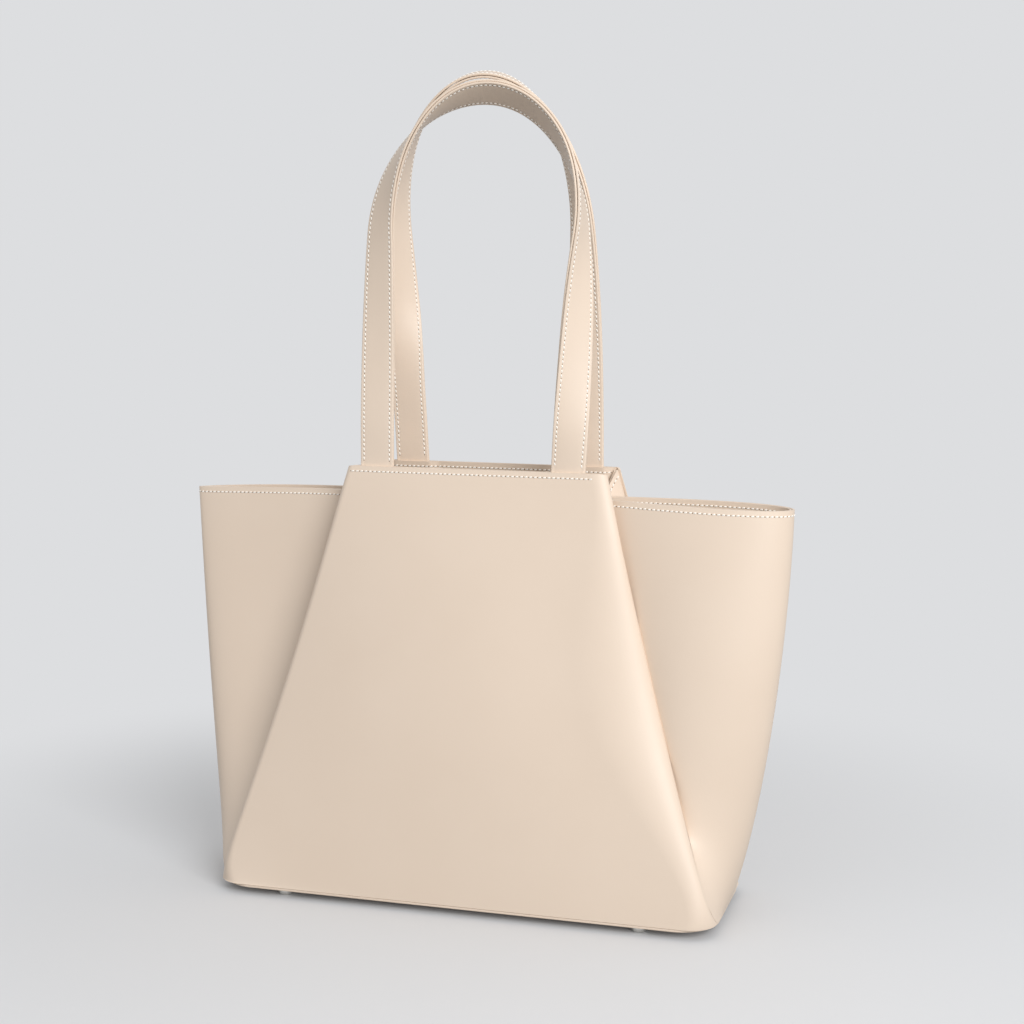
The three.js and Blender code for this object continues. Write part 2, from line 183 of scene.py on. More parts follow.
# Materials
def linear(hex_colour):
    """Linear colour with alpha from an sRGB hex value."""
    srgb = np.array([int(hex_colour[place:place + 2], 16) for place in (0, 2, 4)]) / 255
    low, high = srgb / 12.92, ((srgb + 0.055) / 1.055) ** 2.4
    return (*np.where(srgb <= 0.04045, low, high), 1)


def add(tree, kind, links=(), **settings):
    """A new node with its settings, and its inputs by name or number as values or as linked outputs."""
    made = tree.nodes.new(kind)
    for name, value in settings.items():
        setattr(made, name, value)
    for name, value in dict(links).items():
        if isinstance(value, bpy.types.NodeSocket):
            tree.links.new(value, made.inputs[name])
        else:
            made.inputs[name].default_value = value
    return made


def new_material(name):
    """An empty procedural material: the material, its node tree, its output and the object's coordinates."""
    material = bpy.data.materials.new(name)
    material.use_nodes = True
    tree = material.node_tree
    tree.nodes.clear()
    output = add(tree, "ShaderNodeOutputMaterial")
    place = add(tree, "ShaderNodeTexCoord").outputs["Object"]
    return material, tree, output, place


def per_mm(size):
    """Texture scale at which one cell of a pattern is the given size in millimetres."""
    return 1 / (size * MM)


# Smooth full-grain calf leather, dyed through and pressed: an even cream with a faint cloudy variation, a low
# satin gloss and a pore grain of about half a millimetre, drawn at a millimetre so that it shows.
def calf_leather(name, pale, deep, gloss):
    material, tree, output, place = new_material(name)
    cloud = add(tree, "ShaderNodeTexNoise", {"Vector": place, "Scale": per_mm(70), "Detail": 3})
    tone = add(tree, "ShaderNodeMix", {0: cloud.outputs["Fac"], 6: linear(deep), 7: linear(pale)},
               data_type="RGBA")
    pores = add(tree, "ShaderNodeTexVoronoi", {"Vector": place, "Scale": per_mm(1.0), "Randomness": 0.9},
                feature="SMOOTH_F1")
    creases = add(tree, "ShaderNodeTexNoise", {"Vector": place, "Scale": per_mm(4), "Detail": 5})
    height = add(tree, "ShaderNodeMath", {0: pores.outputs["Distance"], 1: creases.outputs["Fac"]},
                 operation="ADD")
    bump = add(tree, "ShaderNodeBump", {"Strength": 0.3, "Distance": 0.00006, "Height": height.outputs[0]})
    wear = add(tree, "ShaderNodeTexNoise", {"Vector": place, "Scale": per_mm(22), "Detail": 2})
    rough = add(tree, "ShaderNodeMapRange", {"Value": wear.outputs["Fac"], "To Min": gloss - 0.05,
                                             "To Max": gloss + 0.06})
    skin = add(tree, "ShaderNodeBsdfPrincipled", {
        "Base Color": tone.outputs[2], "Roughness": rough.outputs[0], "IOR": 1.52, "Normal": bump.outputs[0]})
    tree.links.new(skin.outputs[0], output.inputs["Surface"])
    return material


# Twisted polyester sewing thread: off-white, two strands laid round each other, with a soft sheen.
def sewing_thread():
    material, tree, output, place = new_material("polyester_thread")
    strands = add(tree, "ShaderNodeTexWave", {"Vector": place, "Scale": per_mm(2.4), "Distortion": 1.5},
                  bands_direction="DIAGONAL")
    tone = add(tree, "ShaderNodeMix", {0: strands.outputs["Fac"], 6: linear("F8F2E9"), 7: linear("FFFDF8")},
               data_type="RGBA")
    bump = add(tree, "ShaderNodeBump", {
        "Strength": 0.4, "Distance": 0.00008, "Height": strands.outputs["Fac"]})
    thread = add(tree, "ShaderNodeBsdfPrincipled", {
        "Base Color": tone.outputs[2], "Roughness": 0.55, "Sheen Weight": 0.2, "Normal": bump.outputs[0]})
    tree.links.new(thread.outputs[0], output.inputs["Surface"])
    return material


# Plain woven cotton lining: beige yarns of two directions, drawn coarse so that the weave shows, no gloss.
def woven_lining():
    material, tree, output, place = new_material("woven_cotton_lining")
    warp = add(tree, "ShaderNodeTexWave", {"Vector": place, "Scale": per_mm(7.5), "Distortion": 0.3},
               bands_direction="X")
    weft = add(tree, "ShaderNodeTexWave", {"Vector": place, "Scale": per_mm(7.5), "Distortion": 0.3},
               bands_direction="Z")
    weave = add(tree, "ShaderNodeMath", {0: warp.outputs["Fac"], 1: weft.outputs["Fac"]},
                operation="MULTIPLY")
    tone = add(tree, "ShaderNodeMix", {0: weave.outputs[0], 6: linear("B7A88F"), 7: linear("CDBFA8")},
               data_type="RGBA")
    bump = add(tree, "ShaderNodeBump", {"Strength": 0.5, "Distance": 0.0002, "Height": weave.outputs[0]})
    cloth = add(tree, "ShaderNodeBsdfPrincipled", {
        "Base Color": tone.outputs[2], "Roughness": 0.9, "Sheen Weight": 0.15, "Normal": bump.outputs[0]})
    tree.links.new(cloth.outputs[0], output.inputs["Surface"])
    return material


# Polished nickel-plated zinc: neutral silver, sharp reflections broken by faint handling scuffs.
def nickel_plate():
    material, tree, output, place = new_material("nickel_plated_zinc")
    scuffs = add(tree, "ShaderNodeTexNoise", {"Vector": place, "Scale": per_mm(1.5), "Detail": 4})
    rough = add(tree, "ShaderNodeMapRange", {"Value": scuffs.outputs["Fac"], "To Min": 0.14, "To Max": 0.3})
    plate = add(tree, "ShaderNodeBsdfPrincipled", {
        "Base Color": linear("D9D7D2"), "Metallic": 1.0, "Roughness": rough.outputs[0]})
    tree.links.new(plate.outputs[0], output.inputs["Surface"])
    return material


# Pressed fibre board: matt grey-brown with short darker fibres.
def fibre_board():
    material, tree, output, place = new_material("pressed_fibre_board")
    fibres = add(tree, "ShaderNodeTexNoise", {"Vector": place, "Scale": per_mm(2.5), "Detail": 6})
    tone = add(tree, "ShaderNodeMix", {0: fibres.outputs["Fac"], 6: linear("8A7A64"), 7: linear("B4A388")},
               data_type="RGBA")
    board = add(tree, "ShaderNodeBsdfPrincipled", {"Base Color": tone.outputs[2], "Roughness": 0.9})
    tree.links.new(board.outputs[0], output.inputs["Surface"])
    return material


# Seamless paper sweep: matt pale grey that takes the shadow near the bag, is even further away, and throws
# back less light on the bag than the camera sees on it.
def paper_sweep(colour, lit_colour, bounce):
    material, tree, output, place = new_material("seamless_paper")
    flat = add(tree, "ShaderNodeVectorMath", {0: place, 1: (1, 1, 0)}, operation="MULTIPLY")
    far = add(tree, "ShaderNodeVectorMath", {0: flat.outputs[0]}, operation="LENGTH")
    fade = add(tree, "ShaderNodeMapRange", {"Value": far.outputs["Value"], "From Min": 0.25, "From Max": 0.6},
               interpolation_type="SMOOTHSTEP")
    light = add(tree, "ShaderNodeLightPath")
    seen = add(tree, "ShaderNodeMath", {0: light.outputs["Is Camera Ray"], 1: light.outputs["Is Glossy Ray"]},
               operation="MAXIMUM")
    tone = add(tree, "ShaderNodeMix", {0: seen.outputs[0], 6: linear(bounce), 7: linear(lit_colour)},
               data_type="RGBA")
    paper = add(tree, "ShaderNodeBsdfDiffuse", {"Color": tone.outputs[2]})
    even = add(tree, "ShaderNodeEmission", {"Color": linear(colour)})
    share = add(tree, "ShaderNodeMath", {0: fade.outputs[0], 1: seen.outputs[0]}, operation="MULTIPLY")
    both = add(tree, "ShaderNodeMixShader", {0: share.outputs[0], 1: paper.outputs[0], 2: even.outputs[0]})
    tree.links.new(both.outputs[0], output.inputs["Surface"])
    return material


leather = calf_leather("calf_leather_cream", "E7D5C3", "E1CEBB", 0.44)
# Darker leather colour for the needle holes: painted shade inside each punched hole.
painted_hole_shade = calf_leather("painted_needle_hole_shade", "8F7B66", "7F6C58", 0.8)
thread = sewing_thread()
lining_cloth = woven_lining()
nickel = nickel_plate()
board_fibre = fibre_board()


# Meshes
def sheet(outer, inner):
    """Points and faces of a closed sheet between two grids of one shape: both faces and the four edges.
    Seen from outside the first grid, columns run to the right and rows upwards."""
    rows, columns = outer.shape[:2]
    count = rows * columns
    index = np.arange(count).reshape(rows, columns)
    face = np.stack([index[:-1, :-1], index[:-1, 1:], index[1:, 1:], index[1:, :-1]], axis=-1).reshape(-1, 4)
    loop = np.concatenate([index[0, :-1], index[:-1, -1], index[-1, :0:-1], index[:0:-1, 0]])
    after = np.roll(loop, -1)
    edge = np.stack([loop, loop + count, after + count, after], axis=-1)
    points = np.concatenate([outer.reshape(-1, 3), inner.reshape(-1, 3)])
    return points, np.concatenate([face, face[:, ::-1] + count, edge]).tolist()


def tube(rings):
    """Points and faces of closed rings joined one after the other, with a flat cap on the first and last."""
    steps, around = rings.shape[:2]
    index = np.arange(steps * around).reshape(steps, around)
    turned = np.roll(index, -1, axis=1)
    wall = np.stack([index[:-1], turned[:-1], turned[1:], index[1:]], axis=-1).reshape(-1, 4)
    return rings.reshape(-1, 3), wall.tolist() + [index[0, ::-1].tolist(), index[-1].tolist()]


def leaned(points):
    """The bag stands with its walls a little to the right, more at the rim than at the base: a shear."""
    share = np.clip((points[..., 2:] - FOOT) / (RIM - FOOT), 0, 1)
    return points + mix(LEAN_FOOT, LEAN_RIM, share) * np.array([1, 0, 0])


def piece(name, shape, finish, nodes=(), rounding=0):
    """Object of one closed shape with outward faces, its material and slot, and the nodes it stands for."""
    points, faces = shape
    mesh = bpy.data.meshes.new(name)
    mesh.from_pydata((leaned(points) * MM).tolist(), [], faces)
    form = bmesh.new()
    form.from_mesh(mesh)
    bmesh.ops.recalc_face_normals(form, faces=form.faces)
    form.to_mesh(mesh)
    form.free()
    mesh.shade_smooth()
    mesh.materials.append(finish)
    made = bpy.data.objects.new(name, mesh)
    bpy.context.scene.collection.objects.link(made)
    if rounding:
        bevel = made.modifiers.new("edge_rounding", "BEVEL")
        bevel.width = rounding * MM
        bevel.segments = 3
        bevel.limit_method = "ANGLE"
        bevel.angle_limit = math.radians(50)
    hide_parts(*nodes)
    return made


def inset(points, depth):
    """A grid moved the depth inwards along the level part of its normal."""
    normal = np.cross(np.gradient(points, axis=1), np.gradient(points, axis=0))
    normal[..., 2] = 0
    return points - unit(normal) * np.broadcast_to(depth, points.shape[:2])[..., None]


def half_turn(points):
    """The same form on the bag's other side, turned half a turn about its upright middle."""
    return points * np.array([-1, -1, 1])


def graded(low, high, steps):
    """Values from low to high, closer together at both ends."""
    return mix(low, high, (1 - np.cos(np.linspace(0, math.pi, steps))) / 2)


# Front and back panels
def share_up(z):
    """Height as a share of the way from the base to the rim."""
    return (z - FOOT) / (RIM - FOOT)


def slack(z):
    """How slack the leather is: half a sine wave from base to rim."""
    return np.sin(math.pi * np.clip(share_up(z), 0, 1))


def half_width(z, soft):
    """Half the panel's width to the end of its fold: straight from base to rim, bowed in where slack."""
    straight = mix(BASE_HALF_WIDTH, RIM_HALF_WIDTH, share_up(z))
    return straight - np.where(soft, SOFT_SAG, PRESSED_SAG) * slack(z)


def half_depth(z):
    """Depth from the bag's middle to the panel's face: straight from base to rim, swollen where slack."""
    return mix(BASE_HALF_DEPTH, RIM_HALF_DEPTH, share_up(z)) + PANEL_BULGE * slack(z)


def corner_share(z):
    """How much of the base corner's rounding is left at a height: a high power, gone a little way up."""
    return np.maximum(1 - share_up(z), 0) ** CORNER_FADE


def fold_width(z, soft):
    """Width of a fold's roll. A panel's right fold, seen from its own side, lies soft and is widest half way
    up, and its left one is pressed. Both go over into the base corner's rounding at the foot."""
    size = np.where(soft, mix(RIM_FOLD_WIDTH, SOFT_FOLD_WIDTH, slack(z) ** 2), PRESSED_FOLD_WIDTH)
    return mix(size, BASE_CORNER, corner_share(z))


def fold_depth(z, soft):
    """Depth of a fold's roll, which goes with its width."""
    size = np.where(soft, mix(RIM_FOLD_DEPTH, SOFT_FOLD_DEPTH, slack(z) ** 2), PRESSED_FOLD_DEPTH)
    return mix(size, BASE_CORNER, corner_share(z))


def side_slope(z, soft):
    """How far a panel falls back from its middle to its pressed fold: the root of half a sine wave up, ending
    in the stiff rim."""
    return np.where(soft, 0, PANEL_SLOPE) * np.sqrt(slack(z)) * (1 - share_up(z) ** 4)


def edge_depth(z, soft):
    """Depth of a fold where its roll has turned square to the panel."""
    return half_depth(z) - fold_depth(z, soft) - side_slope(z, soft)


def panel_face(across, z):
    """Front panel's outer face. Across from -1 to 1 is its middle part, domed by a squared parabola across
    and half a sine wave up, and beyond that, to -2 or 2, part of an ellipse that rolls it back at the slanted
    fold: a quarter at the foot, and a little more above the pleat's apex. Towards the pressed fold it falls
    back with the cube of the width, and the rim drops a little round the fold."""
    reach = np.abs(across)
    roll = np.maximum(reach - 1, 0)
    angle = roll * mix(math.pi / 2, FOLD_TURN, ease(z, PLEAT_APEX, PLEAT_OPEN))
    inner = np.minimum(reach, 1)
    dome = PANEL_DOME * (1 - inner ** 2) ** 2 * slack(z)
    soft = across > 0
    width, depth, half = fold_width(z, soft), fold_depth(z, soft), half_width(z, soft)
    x = (half - width) * inner + width * np.sin(angle)
    slope = side_slope(z, soft) * (x / half) ** 3
    y = depth * (1 - np.cos(angle)) + slope - half_depth(z) - dome
    drop = RIM_DROP * roll ** 2 * ease(z, RIM - RIM_DROP_HEIGHT, RIM)
    return np.stack(np.broadcast_arrays(np.sign(across) * x, y, z - drop), axis=-1)


def panel_across(pressed, soft, middle):
    """Places across a panel: its middle part, and the given share of each of its folds."""
    left, right = (np.linspace(1, 1 + wrap, 15)[1:] for wrap in (pressed, soft))
    return np.concatenate([-left[::-1], np.linspace(-1, 1, middle), right])


def strap_bulge(x, legs):
    """1 over a strap end and 0 beside it, with smooth sides."""
    near = np.min(np.abs(x[..., None] - np.array(legs)), axis=-1)
    return 1 - ease(near, STRAP_WIDTH / 2, STRAP_WIDTH / 2 + FACING_BULGE_FADE)


def panel_pieces(name, side, legs):
    """A panel's leather, its lining, the facing that swells over the strap ends, and the rim's stitches. The
    side is -1 for the front and 1 for the back, and the legs are where the straps are sewn in."""
    turn = half_turn if side > 0 else np.array
    local_legs = [-side * leg for leg in legs]
    outer = panel_face(panel_across(1, 1, 61)[None, :], graded(FOOT, RIM, 120)[:, None])
    skin = piece(f"{name}_panel_leather", sheet(turn(outer), turn(inset(outer, LEATHER))), leather,
                 [f"{name}_panel"], EDGE_ROUND)
    low = panel_face(panel_across(PRESSED_WRAP, LINING_WRAP, 61)[None, :],
                     graded(FOOT, FACING_FOOT - FIT, 80)[:, None])
    near = LEATHER + LAYER_GAP
    cloth = piece(f"{name}_panel_lining", sheet(turn(inset(low, near)), turn(inset(low, near + LINING))),
                  lining_cloth, [f"{name}_lining"])

    def swell(across, points):
        flat = 1 - ease(np.abs(across), 1, 1.5)
        height = ease(points[..., 2], FACING_FOOT, RIM - FACING_BULGE_TOP)
        return FACING_BULGE * strap_bulge(points[..., 0], local_legs) * flat * height

    across = panel_across(PRESSED_WRAP, FACING_WRAP, 121)[None, :]
    top = panel_face(across, graded(FACING_FOOT, RIM, 30)[:, None])
    depth = near + swell(across, top)
    band = piece(f"{name}_rim_facing", sheet(turn(inset(top, depth)), turn(inset(top, depth + FACING))),
                 leather, [f"{name}_facing"], EDGE_ROUND)
    across = np.linspace(-1 - STITCH_WRAP, 1 + STITCH_WRAP, 400)[None, :]
    rows = panel_face(across, RIM - RIM_STITCH + np.array([[-1], [0], [1]]))
    inner_rows = inset(rows, near + swell(across, rows) + FACING)
    sewn = sewn_pieces(f"{name}_rim", [row_path(turn(rows), 1), row_path(turn(inner_rows), -1)])
    for made in (skin, cloth, band, *sewn):
        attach(made, "bag_body")


# Stitching
def thread_form():
    """One stitch as five rings of six points along its length: a thread that dips at both ends."""
    along = np.array([-0.5, -0.36, 0, 0.36, 0.5])[:, None] * STITCH_LENGTH
    radius = np.array([0.45, 0.9, 1, 0.9, 0.45])[:, None] * STITCH_WIDTH / 2
    dip = np.array([-0.28, -0.06, 0, -0.06, -0.28])[:, None]
    angle = np.arange(6)[None, :] * math.pi / 3
    form = np.broadcast_arrays(along, radius * np.cos(angle), radius * np.sin(angle) + dip)
    index = np.arange(30).reshape(5, 6)
    turned = np.roll(index, -1, axis=1)
    wall = np.stack([index[:-1], turned[:-1], turned[1:], index[1:]], axis=-1).reshape(-1, 4)
    caps = np.concatenate([index[[0], 3::-1], index[[0]][:, [0, 5, 4, 3]],
                           index[[-1], :4], index[[-1]][:, [0, 3, 4, 5]]])
    return np.stack(form, axis=-1).reshape(-1, 3), np.concatenate([wall, caps])


def hole_form():
    """One needle hole as a flat six-sided lens that only just stands out of the leather and, with its dark
    material, paints the shade inside the hole.
    """
    angle = np.arange(6) * math.pi / 3
    ring = np.stack([np.cos(angle), np.sin(angle), 0 * angle], axis=-1) * HOLE_WIDTH / 2
    points = np.concatenate([ring + [0, 0, -0.1], ring * [0.9, 0.9, 1] + [0, 0, 0.06]])
    index = np.arange(6)
    turned = np.roll(index, -1)
    wall = np.stack([index, turned, turned + 6, index + 6], axis=-1)
    caps = np.array([[3, 2, 1, 0], [5, 4, 3, 0], [6, 7, 8, 9], [6, 9, 10, 11]])
    return points, np.concatenate([wall, caps])


def row_path(rows, sense):
    """Middle one of three grid rows with the leather's outward normal along it. The sense is 1 where the
    grid's own normal points out of the leather and -1 where it points in."""
    normal = unit(np.cross(np.gradient(rows, axis=1), np.gradient(rows, axis=0)))[1] * sense
    return rows[1], normal


def repeated(form, path, normal, first):
    """A small form repeated along a path, one stitch apart by length from the first place on, in stitches:
    its length turned a little to the path and its height along the outward normal."""
    length = np.concatenate([[0], np.cumsum(np.linalg.norm(np.diff(path, axis=0), axis=1))])
    count = int(length[-1] / STITCH_PITCH)
    middle = (np.arange(count) + first) * length[-1] / count

    def at(values, where):
        return np.stack([np.interp(where, length, values[:, axis]) for axis in range(3)], axis=-1)

    along = unit(at(path, middle + 0.5) - at(path, middle - 0.5))
    up = at(normal, middle)
    up = unit(up - along * np.sum(up * along, axis=1, keepdims=True))
    aside = np.cross(up, along)
    turned = along * math.cos(STITCH_SLANT) + aside * math.sin(STITCH_SLANT)
    axes = np.stack([turned, np.cross(up, turned), up], axis=1)
    points, faces = form
    placed = at(path, middle)[:, None, :] + np.einsum("pk,skx->spx", points, axes)
    shifts = (np.arange(count) * len(points))[:, None, None]
    return placed.reshape(-1, 3), (faces[None] + shifts).reshape(-1, 4)


def sewn_pieces(name, paths):
    """Stitching along some paths: the threads, and between them dark lenses that paint the shade inside the
    needle holes.
    """
    threads = joined([repeated(thread_form(), *path, 0.5) for path in paths])
    holes = joined([repeated(hole_form(), *path, 0.02) for path in paths])
    return [piece(f"{name}_stitching", threads, thread),
            piece(f"{name}_needle_hole_shade", holes, painted_hole_shade)]


def joined(shapes):
    """Several shapes as one."""
    starts = np.cumsum([0] + [len(points) for points, _ in shapes[:-1]])
    faces = np.concatenate([np.asarray(faces) + start for (_, faces), start in zip(shapes, starts)])
    return np.concatenate([points for points, _ in shapes]), faces.tolist()


# Side wings
def pleat_share(z):
    """How far a pleat has opened: nothing up to the apex, then in proportion to the height above it."""
    return np.maximum((z - PLEAT_APEX) / (RIM - PLEAT_APEX), 0)


def inner_x(z, soft):
    """How far out a wing's inner end lies: in behind the panel's fold by its share of the overlap."""
    return half_width(z, soft) - PLEAT_OVERLAP * pleat_share(z)


def inner_depth(wing, z, soft):
    """Depth of the wing's inner end: just behind the panel's edge up to the apex, and recessed further up.
    Behind a soft fold the recess is even, and behind a pressed one its step grows with the root of the
    pleat's opening."""
    edge = edge_depth(z, soft) - SEAM_GAP
    even = half_depth(z) - mix(RIM_RECESS, SOFT_RECESS, slack(z))
    return np.where(soft, mix(edge, even, ease(z, PLEAT_APEX, PLEAT_OPEN)),
                    edge - wing["step"] * np.sqrt(pleat_share(z)))


def outer_end(wing, share):
    """Outer end of a wing at a share of its height: it grows with one power of the share from the base, and
    comes to rest at the rim with another."""
    grown = (share + FOOT_TURN) ** wing["lift"] - FOOT_TURN ** wing["lift"]
    grown = grown / ((1 + FOOT_TURN) ** wing["lift"] - FOOT_TURN ** wing["lift"])
    return mix(BASE_HALF_WIDTH, wing["end"], 1 - (1 - grown) ** wing["flare"])


def wing_section(wing, along, share):
    """Level section of a wing at a share of its height: a cubic curve from the outer end (along of 0), square
    to the middle line there, round the cheek to an inner end behind a panel's fold (along of -1 or 1)."""
    t, soft = np.abs(along), along < 0
    z = mix(FOOT, WING_RIM_INNER, share)
    end = outer_end(wing, share)
    foot = inner_depth(wing, FOOT, soft)
    swell = np.sin(math.pi * share)
    cheek, reach, roll, fullness = (np.where(soft, *wing[size])
                                    for size in ("cheek", "reach", "roll", "fullness"))
    xs = [end, end, end - reach * share - roll * swell, inner_x(z, soft)]
    ys = [0 * share, mix(foot * wing["foot_nose"], wing["nose"], share) + wing["nose_fullness"] * swell,
          mix(foot * wing["foot_cheek"], cheek, share) + fullness * swell, inner_depth(wing, z, soft)]
    weights = [(1 - t) ** 3, 3 * t * (1 - t) ** 2, 3 * t * t * (1 - t), t ** 3]
    return sum(w * x for w, x in zip(weights, xs)), sum(w * y for w, y in zip(weights, ys))


def wing_face(wing, along, share):
    """Right wing's outer face. Along from -1 to 1 goes from the front inner end round the outer end to the
    back one, and the share goes from the foot to the rim, which falls a little outwards."""
    x, y = wing_section(wing, along, share)
    rim_x = wing_section(wing, along, np.ones_like(share))[0]
    inner = inner_x(WING_RIM_INNER, along < 0)
    rim = mix(WING_RIM_INNER, WING_RIM_OUTER, (rim_x - inner) / (wing["end"] - inner))
    return np.stack(np.broadcast_arrays(x, np.sign(along) * y, mix(FOOT, rim, share)), axis=-1)


def leaf_rim(inward):
    """Height of a pleat's rim from the panel's fold (0) in to the wing (1): it falls with a power."""
    return mix(RIM - RIM_DROP, WING_RIM_INNER, inward ** PLEAT_RIM_POWER)


def leaf_face(wing, inward, z, side):
    """Hidden leaf of a pleat: a cubic curve from under the end of the panel's fold, first straight back, then
    in to the wing's inner end."""
    edge, inner = edge_depth(z, side < 0), inner_depth(wing, z, side < 0)
    start = np.stack(np.broadcast_arrays(half_width(z, side < 0) - LEATHER - FIT, edge), axis=-1)
    stop = np.stack(np.broadcast_arrays(inner_x(z, side < 0), inner + LEAF_SEAM), axis=-1)
    turn = start + np.stack(np.broadcast_arrays(0 * z, LEAF_TURN * (inner - edge)), axis=-1)
    rest = mix(turn, stop, LEAF_SLACK)
    t = inward[..., None]
    flat = start * (1 - t) ** 3 + turn * 3 * t * (1 - t) ** 2 + rest * 3 * t * t * (1 - t) + stop * t ** 3
    return np.stack(np.broadcast_arrays(flat[..., 0], side * flat[..., 1], z), axis=-1)


def leaf_pieces(name, wing, turn, side):
    """The leaf's leather, thinned towards the apex, its facing under the rim, and the rim's stitches."""
    inward = np.linspace(0, 1, 25)
    inward = (inward if side < 0 else inward[::-1])[None, :]
    rim = leaf_rim(inward)
    face = leaf_face(wing, inward, mix(PLEAT_LEAF_FOOT, rim, graded(0, 1, 90)[:, None]), side)
    step = edge_depth(face[..., 2], side < 0) - inner_depth(wing, face[..., 2], side < 0)
    thickness = np.minimum(LEATHER, step - LEAF_CLEARANCE)
    skin = piece(f"{name}_leaf", sheet(turn(face), turn(inset(face, thickness))), leather,
                 [f"{name}_pleat"], EDGE_ROUND)
    top = leaf_face(wing, inward, mix(rim - WING_FACING_HEIGHT, rim, graded(0, 1, 24)[:, None]), side)
    near = LEATHER + LAYER_GAP
    band = piece(f"{name}_leaf_facing", sheet(turn(inset(top, near)), turn(inset(top, near + FACING))),
                 leather, (), EDGE_ROUND)
    fine = np.linspace(LEAF_FIRST_STITCH, 1, 200)
    fine = (fine if side < 0 else fine[::-1])[None, :]
    rows = leaf_face(wing, fine, leaf_rim(fine) - RIM_STITCH + np.array([[-1], [0], [1]]), side)
    return [skin, band, *sewn_pieces(f"{name}_leaf", [row_path(turn(rows), 1),
                                                      row_path(turn(inset(rows, near + FACING)), -1)])]


def wing_pieces(name, turn, near_panel, far_panel):
    """A wing's leather, lining, rim facing and stitches, and the leaves of its two pleats, which stretch from
    the panels' folds to the wing."""
    body, wing = f"{name}_wing", WINGS[name]
    along = np.linspace(-1, 1, 141)[None, :]
    wall = wing_face(wing, along, graded(0, 1, 90)[:, None])
    height = WING_RIM_INNER - FOOT
    near = LEATHER + LAYER_GAP
    facing_foot = 1 - WING_FACING_HEIGHT / height
    skin = piece(f"{name}_wing_leather", sheet(turn(wall), turn(inset(wall, LEATHER))), leather,
                 [f"{name}_wing"], EDGE_ROUND)
    low = wing_face(wing, along, graded(LINING_LIFT / height, facing_foot - FIT / height, 80)[:, None])
    cloth = piece(f"{name}_wing_cloth", sheet(turn(inset(low, near)), turn(inset(low, near + LINING))),
                  lining_cloth, [f"{name}_wing_lining"])
    top = wing_face(wing, along, graded(facing_foot, 1, 24)[:, None])
    band = piece(f"{name}_wing_rim_facing", sheet(turn(inset(top, near)), turn(inset(top, near + FACING))),
                 leather, [f"{name}_wing_facing"], EDGE_ROUND)
    level = 1 - np.array([[RIM_STITCH + 1], [RIM_STITCH], [RIM_STITCH - 1]]) / height
    rows = wing_face(wing, np.linspace(-0.99, 0.99, 600)[None, :], level)
    inner_rows = inset(rows, near + FACING)
    sewn = sewn_pieces(f"{name}_wing_rim", [row_path(turn(rows), 1), row_path(turn(inner_rows), -1)])
    for made in (skin, cloth, band, *sewn):
        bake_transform(made)
    top_edge = np.array([RIM_HALF_WIDTH, 0, RIM])
    slant = unit(np.array([RIM_HALF_WIDTH - BASE_HALF_WIDTH, 0, RIM - FOOT]))
    across = np.array([-slant[2], 0, slant[0]])
    start, end = (tuple(leaned(turn(point)) * MM) for point in (top_edge, top_edge + PLEAT_OVERLAP * across))
    for side, panel in ((-1, near_panel), (1, far_panel)):
        for made in leaf_pieces(f"{name}_wing_{panel}", wing, turn, side):
            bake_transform(made)


# Handles
def between_tenths(values, share):
    """Smooth curve through values that stand an equal share apart: cubic pieces whose slope at each value is
    that of the line between its neighbours."""
    steps = len(values) - 1
    padded = np.array([values[0], *values, values[-1]], dtype=float)
    place = np.minimum((share * steps).astype(int), steps - 1)
    t = share * steps - place
    before, low, high, after = (padded[place + offset] for offset in range(4))
    slope_low, slope_high = (high - before) / 2, (after - low) / 2
    return ((2 * low - 2 * high + slope_low + slope_high) * t ** 3
            + (3 * high - 3 * low - 2 * slope_low - slope_high) * t ** 2 + slope_low * t + low)


def strap_line(handle, side):
    """Middle line of a strap, evenly spaced: two legs that spread by a sine, a half ellipse over them, a sway
    that grows with the height, and a depth that goes straight from the rim to the top. With it come the
    strap's face normal and width direction, turned from flat against the panel to edge on, or beyond, at the
    top."""
    spacing, drop = handle["spacing"], handle["drop"]
    crown = (STRAP_WIDTH + HANDLES_APART) / 2
    rise = np.linspace(-STRAP_SINK, LEG_HEIGHT, 120)[:-1]
    angle = np.linspace(0, math.pi, 300)
    spread = LEG_SPREAD * np.sin(math.pi / 2 * np.clip(rise / LEG_HEIGHT, 0, 1))
    leg = spacing / 2 + spread
    arch = -(spacing / 2 + LEG_SPREAD) * np.cos(angle)
    across = np.concatenate([-leg, arch, leg[::-1]])
    height = np.concatenate([rise, LEG_HEIGHT + (drop - LEG_HEIGHT) * np.sin(angle), rise[::-1]])
    share = np.maximum(height, 0) / drop
    x = handle["shift"] + across + handle["sway"] * share
    rim = np.where(height < 0, half_depth(RIM + height), RIM_HALF_DEPTH) - STRAP_DEPTH
    y = side * (mix(rim, crown, share) - STRAP_TUCK * (1 - ease(height, 0, STRAP_TUCK_HEIGHT)))
    line = np.stack([x, y, RIM + height], axis=-1)
    length = np.concatenate([[0], np.cumsum(np.linalg.norm(np.diff(line, axis=0), axis=1))])
    even = np.linspace(0, length[-1], 420)
    line = np.stack([np.interp(even, length, line[:, axis]) for axis in range(3)], axis=-1)
    free = np.clip((even - STRAP_SINK) / (length[-1] - 2 * STRAP_SINK), 0, 1)
    turn = np.radians(between_tenths(handle["turns"], free))
    tangent = unit(np.gradient(line, axis=0))
    over = unit(np.cross(np.array([0, side, 0]), tangent) * -side)
    away = unit(np.cross(tangent, over) * -side)
    normal = away * np.cos(turn)[:, None] + over * np.sin(turn)[:, None]
    return line, normal, np.cross(tangent, normal)


